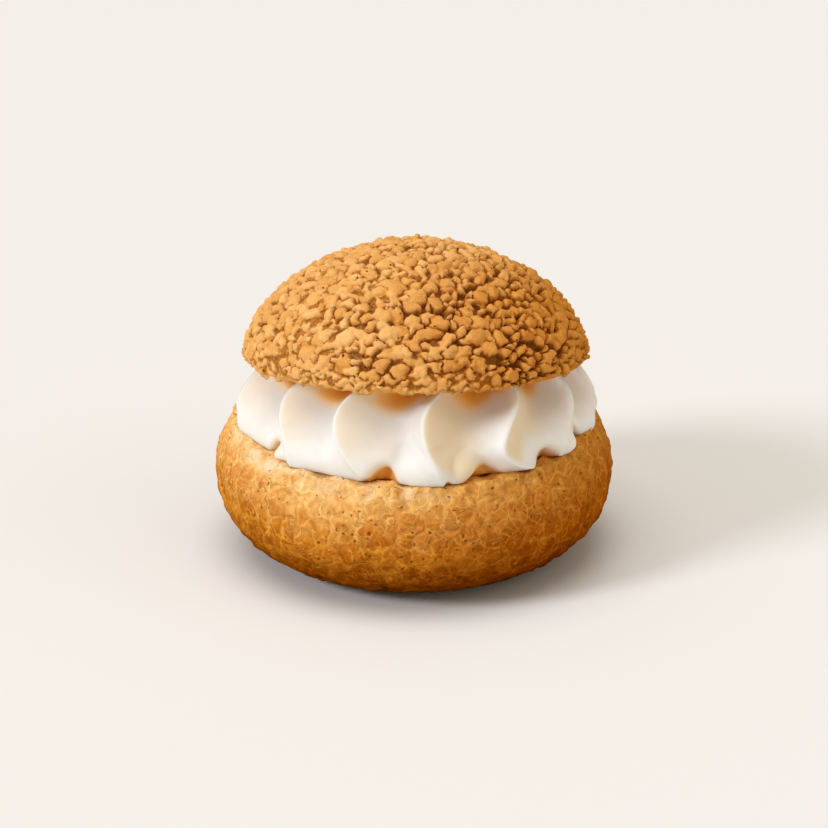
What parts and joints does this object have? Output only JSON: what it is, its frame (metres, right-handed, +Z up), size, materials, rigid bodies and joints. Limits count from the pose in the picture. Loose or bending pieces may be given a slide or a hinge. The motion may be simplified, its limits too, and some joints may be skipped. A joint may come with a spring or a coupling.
{
  "type": "cream puff",
  "caption": "Round choux bun with a crackled top, cut across and filled with a piped ring of whipped cream that shows all round under its tilted lid.",
  "frame": {"origin": "middle of the flat foot that the bun rests on", "axes": "+Z up; -Y is the front, where the gap between the halves is widest; +X to the right seen from the front"},
  "size_m": [0.08, 0.0797, 0.0634],
  "materials": {
    "crust": "dry baked crust, golden brown, finely wrinkled and pitted",
    "cream": "smooth whipped cream, soft sheen",
    "crackle": "dry crackled biscuit crust in small nuggets"
  },
  "bodies": {
    "root": {"base": "crust", "cream": "cream", "lid": "crackle"}
  },
  "joints": []
}
